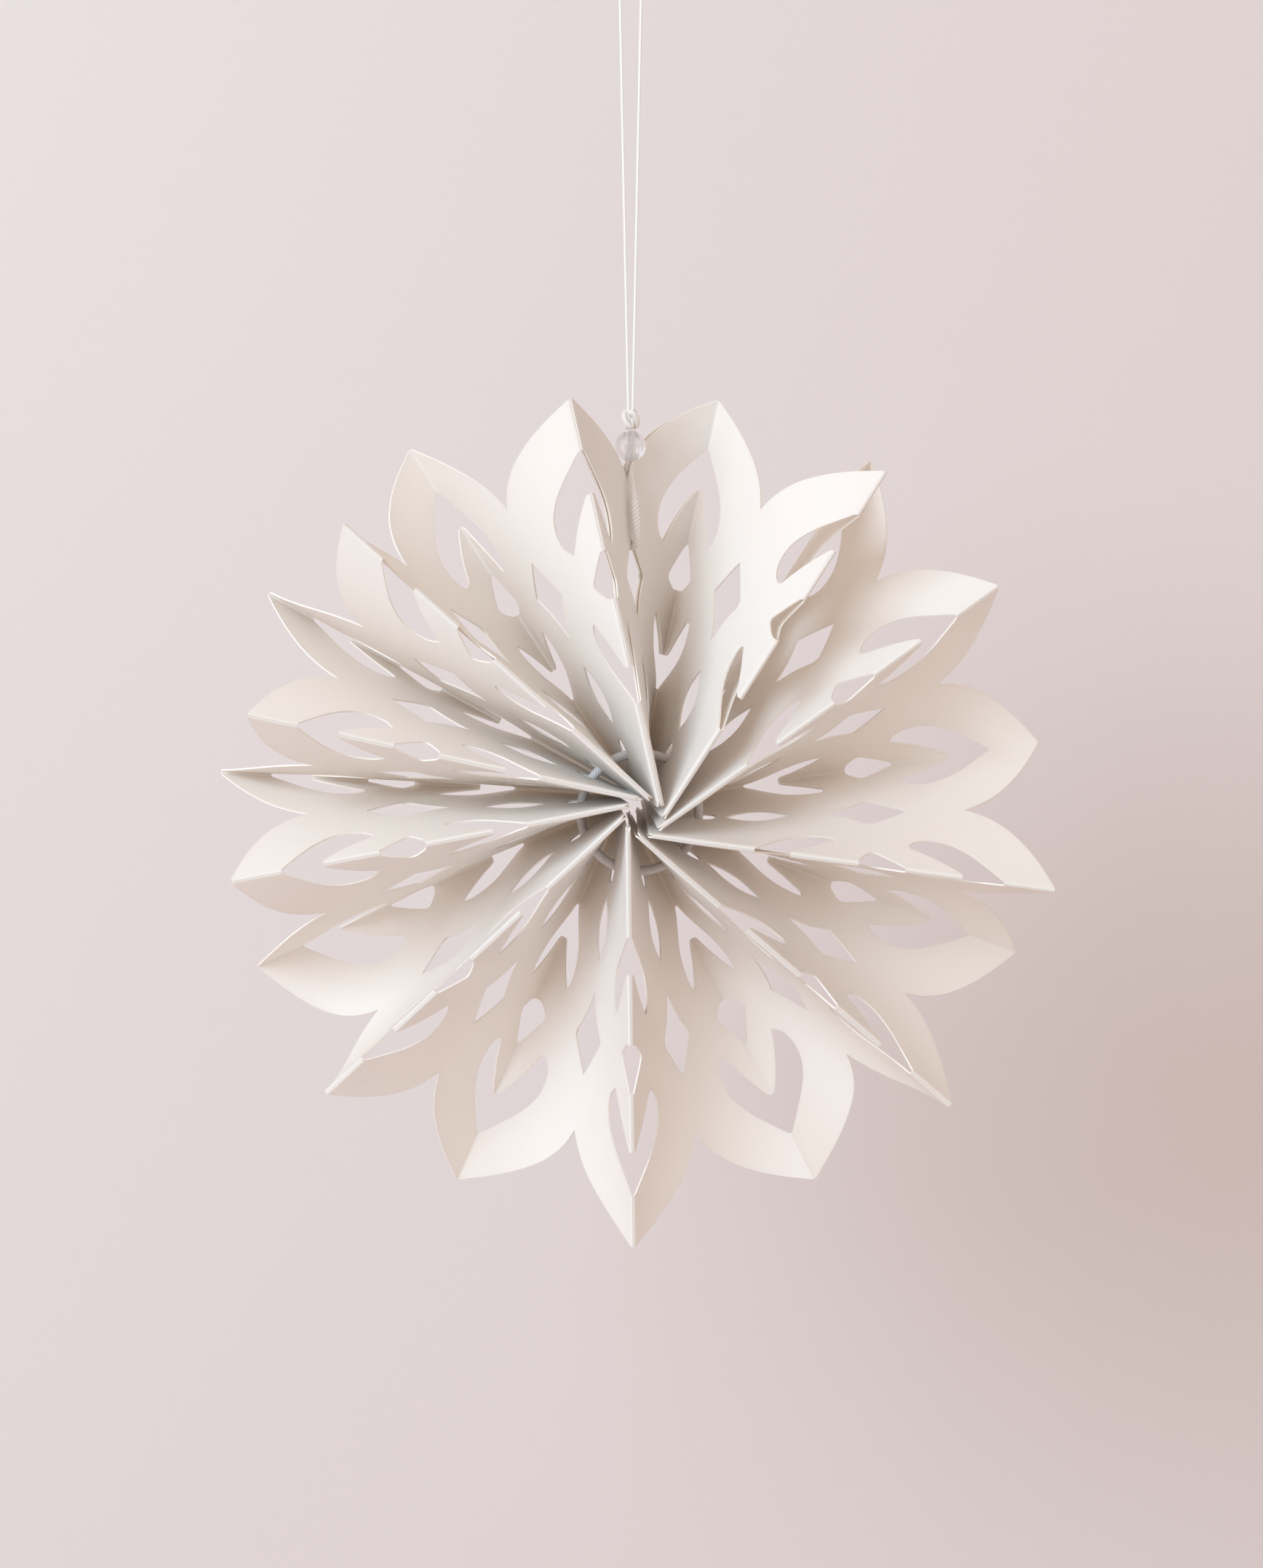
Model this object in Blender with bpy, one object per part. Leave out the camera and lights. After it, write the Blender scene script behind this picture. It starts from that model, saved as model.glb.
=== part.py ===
"""Paper snowflake ornament: a pleated rosette of cut paper on a hanging cord.

One strip of heavy paper is pleated into 21 leaves. Ten mountain folds face the
viewer and ten valley folds lie behind, and every fold carries a pointed petal.
The inner ends are pinched round the middle, where an elastic ring threads a
punched hole in every leaf. A cord ties the first leaf to the last, runs up
through a glass bead to a knot, and leaves it as the hanging loop.

Metres, +Z up, front towards -Y. The origin is where the hanging loop rests.
"""

import math

import bmesh
import bpy
from mathutils import Vector

MM = 0.001

# Rosette
CENTRE = Vector((2.4, 0.0, -227.0)) * MM
LEAF_LENGTH = 110.0 * MM
LEAF_WIDTH = 58.0 * MM
PAPER = 0.4 * MM
GAP = 0.3 * MM
INNER_END = 1.0 * MM
CORNER = 1.2 * MM

# Each fold, clockwise from the mountain fold left of the cord: where its tip
# points, how far short of the flat length it reaches, and its depth at the tip.
FOLD_AZIMUTH = (
    100.5, 78.4, 56.1, 54.2, 32.8, 7.8, -9.7, -22.3, -43.6, -64.7,
    -91.6, -115.4, -140.1, -157.7, -174.0, -185.2, -196.8, -210.6, -225.3, -238.0,
)
FOLD_SHORT = (
    -0.3, 1.5, 1.7, 0.1, 0.6, 0.7, 3.8, -1.8, -0.3, -0.5,
    -2.1, -0.4, 2.3, 2.3, 3.2, 0.9, 3.7, -1.2, 0.2, -0.7,
)
FOLD_DEPTH = (
    -25.2, 13.1, -26.3, 30.8, -10.8, 20.0, -27.7, 24.0, -15.8, 7.0,
    -16.1, 14.3, -20.0, 9.8, -38.8, 14.4, -37.6, 13.8, -34.8, 13.2,
)
# How far each leaf bows to the back at its middle, from the first leaf on.
LEAF_BOW = (
    7.3, -4.2, 3.6, 0.0, 5.5, -1.9, 3.5, 4.9, 15.9, 5.7, 8.6,
    0.0, 17.2, -3.7, -2.0, -3.0, -1.4, -6.5, 9.4, -6.4, 7.9,
)
# The paper is flat up to this reach, inside the pinch.
BOW_START = 25.0 * MM

# Pinched middle: each fold ends on a small circle, turned past its own line.
PINCH_DEPTH = 28.9 * MM
PINCH_START = 99.0
FRONT_RADIUS = 4.85 * MM
FRONT_TURN = -67.0
FRONT_LEAN = Vector((-1.4, 0.0, 2.5)) * MM
BACK_RADIUS = 3.65 * MM
BACK_TURN = -27.0
BACK_LEAN = Vector((-0.7, 0.0, 0.0)) * MM

# Petal edge on each half leaf: drop below the tip, and share of the half width.
PETAL_EDGE = (
    (0.0, 0.0), (0.9, 0.079), (3.0, 0.238), (5.7, 0.414), (8.6, 0.572),
    (11.6, 0.71), (15.2, 0.834), (18.8, 0.928), (22.5, 1.0),
)
# Cut-outs over a fold: distance from the middle, and distance from the fold.
FOLD_OPENING = (
    (96.5, 0.0), (92.0, 5.0), (86.7, 10.3), (82.5, 13.1), (78.0, 14.3),
    (73.8, 13.7), (70.6, 10.4), (78.0, 5.9), (84.0, 2.0), (85.1, 0.0),
)
FOLD_DIAMOND = ((69.9, 0.0), (61.3, 6.5), (57.0, 0.0))
FOLD_SLOT = (
    (38.7, 0.0), (39.6, 2.1), (46.0, 7.2), (51.6, 11.5), (48.5, 13.3),
    (44.0, 13.5), (39.5, 11.8), (35.0, 7.6), (29.0, 0.0),
)
# Cut-outs on the middle line of a leaf: distance from the centre, half width.
LEAF_KITE = ((72.0, 0.0), (61.5, 7.3), (54.0, 2.5), (48.7, 0.0))
LEAF_SLIT = ((40.5, 0.0), (36.0, 3.0), (30.5, 4.6), (25.5, 2.7), (22.5, 0.0))
PUNCH_RADIUS = 3.3 * MM
PUNCH_SIDES = 10
# Where the flat sheet is divided so that it can bend, as shares of its size.
BEND_SIDES = (0.25, 0.5, 0.75)
BEND_REACHES = (0.12, 0.42)

# Elastic ring
RING_RADIUS = 15.4 * MM
RING_CORD = 2.5 * MM
RING_SEAT = 0.55 * MM

# Bead, knot and cords
BEAD_DIAMETER = 8.0 * MM
BEAD_HOLE = 3.0 * MM
BEAD_HEIGHT = 95.3 * MM
# The strands stay clear of each other while 1.73 (ring - weave) and 2 weave exceed the cord.
KNOT_CORD = 1.0 * MM
KNOT_RING = 1.35 * MM
KNOT_WEAVE = 0.65 * MM
KNOT_RISE = 2.1 * MM
TIE_CORD = 1.3 * MM
TIE_SPREAD = 0.72 * MM
TIE_BULGE = 2.6 * MM
TIE_DROP = 2.6 * MM
TIE_NOTCH_DROP = 2.5 * MM
# The tie's way, as shares: straight part of the bead's radius, first point from
# the notch to the bead, last point before the turn, and how far its two halves
# have parted at the first two points.
TIE_STRAIGHT = 0.4
TIE_ABOVE = 0.25
TIE_BESIDE = 0.65
TIE_PARTED = (0.55, 0.92)
LOOP_CORD = 0.75 * MM
LOOP_SPREAD = 0.55 * MM
LOOP_WIDTH = 6.0 * MM
# Where the loop's two threads have points, as shares of the way up to its crown.
LOOP_SHARES = (0.0, 0.02, 0.12, 0.3, 0.5, 0.7, 0.88)
CROWN_STEPS = 8

FOLDS = len(FOLD_AZIMUTH)
LEAVES = FOLDS + 1
HALF_WIDTH = LEAF_WIDTH / 2
FOLD_HALF = (PAPER + GAP) / 2
BACK = Vector((0.0, 1.0, 0.0))


def clear_scene():
    """Removes every object of the startup scene."""
    for found in list(bpy.data.objects):
        bpy.data.objects.remove(found, do_unlink=True)


def material(name, colour, roughness, metallic=0.0, transmission=0.0):
    """A Principled BSDF material with the given constants."""
    made = bpy.data.materials.new(name)
    made.use_nodes = True
    shader = made.node_tree.nodes["Principled BSDF"]
    shader.inputs["Base Color"].default_value = (*colour, 1.0)
    shader.inputs["Roughness"].default_value = roughness
    shader.inputs["Metallic"].default_value = metallic
    shader.inputs["Transmission Weight"].default_value = transmission
    return made


def add_object(name, data, finish):
    """Links a new object with its material."""
    made = bpy.data.objects.new(name, data)
    bpy.context.scene.collection.objects.link(made)
    data.materials.append(finish)
    return made


def polar(azimuth, radius, depth=0.0):
    """A point in the rosette: angle from +X towards +Z, radius, and depth along +Y."""
    turn = math.radians(azimuth)
    return Vector((radius * math.cos(turn), depth, radius * math.sin(turn)))


def fold_ends(index):
    """The inner end and the tip of one fold, from the rosette's centre."""
    fold = index % FOLDS
    mountain = fold % 2 == 0
    nominal = PINCH_START - 360.0 / FOLDS * fold
    if mountain:
        inner = polar(nominal + FRONT_TURN, FRONT_RADIUS, -PINCH_DEPTH) + FRONT_LEAN
    else:
        inner = polar(nominal + BACK_TURN, BACK_RADIUS, PINCH_DEPTH) + BACK_LEAN
    reach = LEAF_LENGTH - FOLD_SHORT[fold] * MM
    return inner, polar(FOLD_AZIMUTH[fold], reach, FOLD_DEPTH[fold] * MM)


def fold_side(index):
    """Unit vector square to a fold and to the depth, pointing clockwise."""
    inner, tip = fold_ends(index)
    return BACK.cross(tip - inner).normalized()


class Leaf:
    """The bent middle surface of one leaf, between two neighbouring folds."""

    def __init__(self, number):
        self.bow = LEAF_BOW[number - 1] * MM
        self.seam = {1: FOLD_HALF, LEAVES: -FOLD_HALF}.get(number, 0.0)
        clear = FOLD_HALF + abs(self.seam)
        near_side, far_side = fold_side(number - 1), fold_side(number)
        self.near = [end + near_side * clear for end in fold_ends(number - 1)]
        self.far = [end - far_side * clear for end in fold_ends(number)]
        across = self.far[1] - self.near[1]
        along = self.near[1] - self.near[0] + self.far[1] - self.far[0]
        normal = along.cross(across).normalized()
        self.back = normal if normal.y > 0 else -normal
        self.clockwise = near_side

    def middle(self, reach, side):
        """The point, from the centre, before a seam leaf steps off its twin."""
        along = (reach - INNER_END) / (LEAF_LENGTH - INNER_END)
        across = side / LEAF_WIDTH
        near = self.near[0].lerp(self.near[1], along)
        far = self.far[0].lerp(self.far[1], along)
        outward = max(0.0, (reach - BOW_START) / (LEAF_LENGTH - BOW_START))
        growth = math.sin(math.pi / 2 * outward)
        bow = 4 * across * (1 - across) * growth * self.bow
        return near.lerp(far, across) + self.back * bow

    def point(self, reach, side):
        """Where the flat leaf's point at this reach and side goes, from the centre."""
        place = self.middle(reach, side)
        if not self.seam:
            return place
        along = self.middle(reach + MM, side) - place
        across = self.middle(reach, side + MM) - place
        normal = along.cross(across).normalized()
        if normal.dot(self.clockwise) < 0:
            normal.negate()
        return place + normal * self.seam

    def on_circle(self, radius):
        """Where the leaf crosses a circle round the middle, at the ring's depth."""
        low, high = INNER_END, LEAF_LENGTH
        for _ in range(40):
            reach = (low + high) / 2
            side = self.side_at_depth(reach)
            offset = self.middle(reach, side)
            if math.hypot(offset.x, offset.z) < radius:
                low = reach
            else:
                high = reach
        return reach, side

    def side_at_depth(self, reach):
        """The distance from the near fold at which the leaf has the ring's depth."""
        low, high = 0.0, LEAF_WIDTH
        rising = self.middle(reach, high).y > self.middle(reach, low).y
        for _ in range(40):
            side = (low + high) / 2
            if (self.middle(reach, side).y < 0) == rising:
                low = side
            else:
                high = side
        return side


def half_outline():
    """Outline of one half leaf, from the inner corner along its fold to the notch."""
    points = [(INNER_END, CORNER), (INNER_END + CORNER, 0.0)]
    for cut in (FOLD_SLOT[::-1], FOLD_DIAMOND[::-1], FOLD_OPENING[::-1]):
        points += [(reach * MM, side * MM) for reach, side in cut]
    points += [
        (LEAF_LENGTH - drop * MM, share * HALF_WIDTH) for drop, share in PETAL_EDGE
    ]
    return points


def mirrored(points):
    """The same points on the other half of the leaf, in reverse order."""
    return [(reach, LEAF_WIDTH - side) for reach, side in reversed(points)]


def leaf_outline():
    """The closed outline of a whole leaf, with the cuts over both folds."""
    half = half_outline()
    return half + mirrored(half[:-1])


def middle_cut(profile):
    """A closed cut-out that lies evenly over the middle line."""
    right = [(reach * MM, HALF_WIDTH + side * MM) for reach, side in profile]
    left = [(reach * MM, HALF_WIDTH - side * MM) for reach, side in profile[-2:0:-1]]
    return right + left


def punch_hole(reach, side):
    """The round hole for the elastic ring, round this point of the flat leaf."""
    turns = [2 * math.pi * step / PUNCH_SIDES for step in range(PUNCH_SIDES)]
    return [
        (reach + PUNCH_RADIUS * math.cos(t), side + PUNCH_RADIUS * math.sin(t))
        for t in turns
    ]


def flat_leaf(loops):
    """Fills a closed outline with its holes, as a flat mesh in the XY plane."""
    curve = bpy.data.curves.new("flat", "CURVE")
    curve.dimensions = "2D"
    curve.fill_mode = "BOTH"
    for loop in loops:
        spline = curve.splines.new("POLY")
        spline.points.add(len(loop) - 1)
        spline.use_cyclic_u = True
        for point, (reach, side) in zip(spline.points, loop):
            point.co = (reach / MM, side / MM, 0.0, 1.0)
    holder = bpy.data.objects.new("flat", curve)
    bpy.context.scene.collection.objects.link(holder)
    graph = bpy.context.evaluated_depsgraph_get()
    mesh = bpy.data.meshes.new_from_object(holder.evaluated_get(graph))
    bpy.data.objects.remove(holder, do_unlink=True)
    bpy.data.curves.remove(curve)
    return mesh


def leaf_mesh(leaf):
    """The leaf as a thin closed sheet, cut flat, bent, then given its thickness."""
    seat = RING_RADIUS - RING_CORD / 2 - RING_SEAT + PUNCH_RADIUS
    loops = [leaf_outline(), middle_cut(LEAF_KITE), middle_cut(LEAF_SLIT)]
    loops.append(punch_hole(*leaf.on_circle(seat)))
    mesh = flat_leaf(loops)
    sheet = bmesh.new()
    sheet.from_mesh(mesh)
    bmesh.ops.remove_doubles(sheet, verts=sheet.verts, dist=1e-4)
    for share in BEND_SIDES:
        cut_sheet(sheet, Vector((0, share * LEAF_WIDTH / MM, 0)), Vector((0, 1, 0)))
    for share in BEND_REACHES:
        cut_sheet(sheet, Vector((share * LEAF_LENGTH / MM, 0, 0)), Vector((1, 0, 0)))
    bmesh.ops.dissolve_limit(
        sheet, angle_limit=1e-3, verts=sheet.verts, edges=sheet.edges, delimit={"SEAM"}
    )
    bmesh.ops.triangulate(sheet, faces=sheet.faces)
    for vert in sheet.verts:
        vert.co = leaf.point(vert.co.x * MM, vert.co.y * MM)
    sheet.normal_update()
    sheet.to_mesh(mesh)
    sheet.free()
    return mesh


def cut_sheet(sheet, point, normal):
    """Splits every face of the sheet along one plane, and marks the line as a seam."""
    geometry = sheet.verts[:] + sheet.edges[:] + sheet.faces[:]
    cut = bmesh.ops.bisect_plane(
        sheet, geom=geometry, dist=1e-4, plane_co=point, plane_no=normal
    )
    for item in cut["geom_cut"]:
        if isinstance(item, bmesh.types.BMEdge):
            item.seam = True


def build_leaves(finish):
    """All the leaves of the strip, from the cord's side clockwise to the last."""
    for number in range(1, LEAVES + 1):
        made = add_object(f"leaf_{number:02d}", leaf_mesh(Leaf(number)), finish)
        made.location = CENTRE
        thick = made.modifiers.new("Paper", "SOLIDIFY")
        thick.thickness = PAPER
        thick.offset = 0.0


def smooth_path(points, spacing):
    """Even points on a smooth curve through the route's own points."""
    dense = []
    padded = [points[0] * 2 - points[1], *points, points[-1] * 2 - points[-2]]
    for before, start, end, after in zip(padded, padded[1:], padded[2:], padded[3:]):
        for step in range(24):
            t = step / 24
            dense.append(
                0.5
                * (
                    2 * start
                    + (end - before) * t
                    + (2 * before - 5 * start + 4 * end - after) * t**2
                    + (3 * start - before - 3 * end + after) * t**3
                )
            )
    dense.append(points[-1])
    lengths = [0.0]
    for first, second in zip(dense, dense[1:]):
        lengths.append(lengths[-1] + (second - first).length)
    count = max(2, round(lengths[-1] / spacing))
    even, place = [], 0
    for step in range(count + 1):
        target = lengths[-1] * step / count
        while place < len(lengths) - 2 and lengths[place + 1] < target:
            place += 1
        span = lengths[place + 1] - lengths[place] or 1.0
        share = (target - lengths[place]) / span
        even.append(dense[place].lerp(dense[place + 1], min(1.0, share)))
    return even


def tube(name, points, diameter, finish, closed=False):
    """A round cord along the points, with filled ends unless it closes on itself."""
    curve = bpy.data.curves.new(name, "CURVE")
    curve.dimensions = "3D"
    curve.bevel_depth = diameter / 2
    curve.bevel_resolution = 2
    curve.use_fill_caps = not closed
    spline = curve.splines.new("POLY")
    spline.points.add(len(points) - 1)
    spline.use_cyclic_u = closed
    for point, place in zip(spline.points, points):
        point.co = (*place, 1.0)
    return add_object(name, curve, finish)


def build_ring(finish):
    """The elastic ring that threads the punched hole of every leaf."""
    steps = 40
    points = [CENTRE + polar(360.0 * i / steps, RING_RADIUS) for i in range(steps)]
    return tube("elastic_ring", points, RING_CORD, finish, closed=True)


def bead_centre():
    """The middle of the bead, on the line of the cord."""
    return Vector((0.0, 0.0, CENTRE.z + BEAD_HEIGHT))


def build_bead(finish):
    """A round bead with a straight hole, turned about the cord's line."""
    mesh = bpy.data.meshes.new("glass_bead")
    body = bmesh.new()
    radius, hole = BEAD_DIAMETER / 2, BEAD_HOLE / 2
    rim = math.asin(hole / radius)
    steps = 9
    profile = []
    for step in range(steps + 1):
        turn = rim + (math.pi - 2 * rim) * step / steps
        profile.append((radius * math.sin(turn), radius * math.cos(turn)))
    verts = [body.verts.new((x, 0.0, z)) for x, z in profile]
    edges = [body.edges.new(pair) for pair in zip(verts, verts[1:] + verts[:1])]
    bmesh.ops.spin(
        body,
        geom=verts + edges,
        axis=(0, 0, 1),
        cent=(0, 0, 0),
        angle=2 * math.pi,
        steps=24,
        use_merge=True,
    )
    bmesh.ops.remove_doubles(body, verts=body.verts, dist=1e-7)
    bmesh.ops.recalc_face_normals(body, faces=body.faces)
    body.to_mesh(mesh)
    body.free()
    made = add_object("glass_bead", mesh, finish)
    made.location = bead_centre()
    mesh.shade_smooth()
    return made


def knot_height():
    """The middle of the knot, which rests on the bead."""
    return bead_centre().z + BEAD_DIAMETER / 2 + GAP + KNOT_CORD / 2 + KNOT_RISE


def build_knot(finish):
    """An overhand knot: a trefoil that winds twice round while it weaves three times."""
    steps = 54
    points = []
    for step in range(steps):
        turn = 2 * math.pi * step / steps
        ring = KNOT_RING + KNOT_WEAVE * math.cos(3 * turn)
        points.append(
            Vector(
                (
                    ring * math.sin(2 * turn),
                    ring * math.cos(2 * turn),
                    knot_height() + KNOT_RISE * math.sin(3 * turn),
                )
            )
        )
    return tube("cord_knot", points, KNOT_CORD, finish, closed=True)


def seam_point(reach):
    """The middle line of the two seam leaves, halfway between them."""
    first, last = Leaf(1), Leaf(LEAVES)
    between = first.point(reach, HALF_WIDTH) + last.point(reach, HALF_WIDTH)
    return CENTRE + between / 2


def tie_route():
    """The tie: down through the bead, over the notch, through the kite and back up."""
    notch = LEAF_LENGTH - PETAL_EDGE[-1][0] * MM
    lowest = LEAF_KITE[0][0] * MM - TIE_DROP
    turn = lowest + TIE_BULGE
    bulge = Leaf(1).back * TIE_BULGE
    inward = (seam_point(lowest) - seam_point(turn)).normalized() * TIE_BULGE
    bead = bead_centre()
    drop = BEAD_DIAMETER / 2
    diagonal = math.sqrt(0.5)
    start = knot_height() - KNOT_RISE - KNOT_CORD / 2 - GAP

    def half(sign):
        spread = Vector((TIE_SPREAD * sign, 0, 0))
        return [
            Vector((0, 0, start)) + spread,
            Vector((0, 0, bead.z + drop * TIE_STRAIGHT)) + spread,
            Vector((0, 0, bead.z - drop * TIE_STRAIGHT)) + spread,
            Vector((0, 0, bead.z - drop)) + spread,
            seam_point(notch).lerp(bead, TIE_ABOVE) - bulge * TIE_PARTED[0] * sign,
            seam_point(notch - TIE_NOTCH_DROP) - bulge * TIE_PARTED[1] * sign,
            seam_point(notch).lerp(seam_point(turn), TIE_BESIDE) - bulge * sign,
            seam_point(turn) - bulge * sign,
            seam_point(turn) - bulge * diagonal * sign + inward * diagonal,
        ]

    return half(1) + [seam_point(turn) + inward] + half(-1)[::-1]


def build_tie(finish):
    """The twisted cord that ties the first leaf to the last."""
    return tube("tie_loop", smooth_path(tie_route(), 2 * TIE_CORD), TIE_CORD, finish)


def loop_route():
    """The hanging loop: up from the knot, over its rest, and down to the knot again."""
    start = knot_height() + KNOT_RISE + KNOT_CORD / 2 + GAP
    radius = LOOP_WIDTH / 2
    crown = LOOP_CORD / 2
    points = []
    for share in LOOP_SHARES:
        half = LOOP_SPREAD + (radius - LOOP_SPREAD) * share
        points.append(Vector((-half, 0, start + (crown - radius - start) * share)))
    for step in range(CROWN_STEPS + 1):
        turn = math.pi * step / CROWN_STEPS
        points.append(
            Vector((-radius * math.cos(turn), 0, crown - radius * (1 - math.sin(turn))))
        )
    points += [Vector((-p.x, 0, p.z)) for p in points[len(LOOP_SHARES) - 1 :: -1]]
    return points


def build_loop(finish):
    """The thin doubled cord that the ornament hangs on."""
    return tube("hanging_loop", loop_route(), LOOP_CORD, finish)


def main():
    """Builds the whole ornament."""
    clear_scene()
    build_leaves(material("ivory_paper", (0.86, 0.80, 0.73), 0.85))
    build_ring(material("silver_elastic", (0.62, 0.58, 0.56), 0.55, metallic=0.2))
    cord = material("satin_cord", (0.88, 0.85, 0.81), 0.5)
    build_bead(material("clear_glass", (0.95, 0.96, 0.96), 0.03, transmission=0.9))
    build_knot(cord)
    build_tie(cord)
    build_loop(cord)


main()
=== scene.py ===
"""The dressed look of the paper snowflake ornament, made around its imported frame.

A pleated rosette of cut ivory paper hangs on a doubled thread. Every leaf is cut
flat, then bent between its two rolled creases. The middle is pinched round a
braided elastic ring, and a twisted cord ties the last leaf to the first and runs
up through a clear bead to a knot.
"""

import logging
import math
from dataclasses import dataclass, field
from enum import Enum
from typing import Sequence

import bmesh
import bpy
import numpy as np
from mathutils import Matrix, Vector


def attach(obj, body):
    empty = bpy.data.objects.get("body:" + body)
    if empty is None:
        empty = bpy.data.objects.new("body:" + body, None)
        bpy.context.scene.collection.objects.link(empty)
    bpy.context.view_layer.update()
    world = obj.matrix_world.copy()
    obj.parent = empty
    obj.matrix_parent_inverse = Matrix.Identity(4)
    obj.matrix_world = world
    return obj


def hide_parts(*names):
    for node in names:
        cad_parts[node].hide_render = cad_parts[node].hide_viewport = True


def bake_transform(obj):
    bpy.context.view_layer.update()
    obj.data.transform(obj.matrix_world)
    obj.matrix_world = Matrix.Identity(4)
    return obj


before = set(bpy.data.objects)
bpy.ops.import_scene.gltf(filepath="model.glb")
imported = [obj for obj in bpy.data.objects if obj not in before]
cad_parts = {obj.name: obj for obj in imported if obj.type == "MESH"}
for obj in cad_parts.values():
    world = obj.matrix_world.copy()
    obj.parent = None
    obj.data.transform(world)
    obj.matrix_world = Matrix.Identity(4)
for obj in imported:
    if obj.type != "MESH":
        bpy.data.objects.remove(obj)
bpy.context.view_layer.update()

LOG = logging.getLogger("ornament")
MM = 0.001
BACK = Vector((0.0, 1.0, 0.0))

Place = tuple[float, float]
Colour = tuple[float, float, float]

# The Mix node's sockets for colours, which share their names with its others.
MIX_SHARE, MIX_FIRST, MIX_SECOND, MIX_RESULT = 0, 6, 7, 2
# How many points a smooth path gets between two of its own, before they are evened out.
CURVE_STEPS = 24
# A bowed line is 4 * share * (1 - share) sags deep, and leaves its ends with a slope of 4.
PARABOLA = 4


@dataclass(frozen=True)
class Signal:
    """One output of a material's nodes, on which Python's arithmetic adds Math nodes."""

    book: "NodeBook"
    socket: bpy.types.NodeSocket

    def _math(self, operation: str, first: "Signal | float", second: "Signal | float") -> "Signal":
        """A Math node.

        Args:
            operation: The Math node's operation.
            first: Its first value.
            second: Its second value.

        Returns:
            The node's result.
        """
        return self.book.add("ShaderNodeMath", {"operation": operation}, {0: first, 1: second})

    def __add__(self, other: "Signal | float") -> "Signal":
        """Sum."""
        return self._math("ADD", self, other)

    def __radd__(self, other: float) -> "Signal":
        """Reflected sum."""
        return self._math("ADD", other, self)

    def __sub__(self, other: "Signal | float") -> "Signal":
        """Difference."""
        return self._math("SUBTRACT", self, other)

    def __rsub__(self, other: float) -> "Signal":
        """Reflected difference."""
        return self._math("SUBTRACT", other, self)

    def __mul__(self, other: "Signal | float") -> "Signal":
        """Product."""
        return self._math("MULTIPLY", self, other)

    def __rmul__(self, other: float) -> "Signal":
        """Reflected product."""
        return self._math("MULTIPLY", other, self)


class NodeBook:
    """Makes the nodes of one material."""

    def __init__(self, name: str) -> None:
        """An empty material.

        Args:
            name: The material's name.
        """
        self.material = bpy.data.materials.new(name)
        self.material.use_nodes = True
        self.tree = self.material.node_tree
        self.tree.nodes.clear()

    def add(
        self, kind: str, settings: dict[str, object] | None = None,
        inputs: dict[str | int, object] | None = None, output: str | int = 0,
    ) -> Signal:
        """Adds one node.

        Args:
            kind: The node's type.
            settings: Its own settings, set before its sockets.
            inputs: The value or the link of each socket, by name or number.
            output: Which of its outputs is wanted.

        Returns:
            The wanted output.
        """
        node = self.tree.nodes.new(kind)
        for key, value in (settings or {}).items():
            setattr(node, key, value)
        for key, value in (inputs or {}).items():
            if isinstance(value, Signal):
                self.tree.links.new(value.socket, node.inputs[key])
            else:
                node.inputs[key].default_value = value
        return Signal(self, node.outputs[output] if node.outputs else None)

    def coordinates(self, kind: str = "Object") -> Signal:
        """The surface's own coordinates, Object or UV."""
        return self.add("ShaderNodeTexCoord", output=kind)

    def noise(self, scale: float, detail: float, place: Signal | None = None) -> Signal:
        """Fractal noise from 0 to 1.

        Args:
            scale: How often it varies in a metre.
            detail: How many finer octaves it has.
            place: Where it is read, or Object coordinates.

        Returns:
            The noise.
        """
        inputs = {"Vector": place or self.coordinates(), "Scale": scale, "Detail": detail}
        return self.add("ShaderNodeTexNoise", inputs=inputs)

    def mixed(
        self, share: Signal | float, first: Signal | Colour, second: Signal | Colour
    ) -> Signal:
        """A colour between two.

        Args:
            share: How much of the second colour there is.
            first: The first colour or link.
            second: The second colour or link.

        Returns:
            The colour.
        """
        ends = [end if isinstance(end, Signal) else (*end, 1.0) for end in (first, second)]
        inputs = {MIX_SHARE: share, MIX_FIRST: ends[0], MIX_SECOND: ends[1]}
        return self.add("ShaderNodeMix", {"data_type": "RGBA"}, inputs, MIX_RESULT)

    def bump(self, height: Signal, distance: float, strength: float = 1.0) -> Signal:
        """A bumped normal.

        Args:
            height: The height, from 0 to 1.
            distance: How high 1 is, in metres.
            strength: How strongly it shows.

        Returns:
            The normal.
        """
        inputs = {"Height": height, "Distance": distance, "Strength": strength}
        return self.add("ShaderNodeBump", inputs=inputs)

    def finish(self, surface: Signal) -> bpy.types.Material:
        """Links the surface to the output, and returns the material."""
        self.add("ShaderNodeOutputMaterial", inputs={"Surface": surface})
        return self.material


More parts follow.
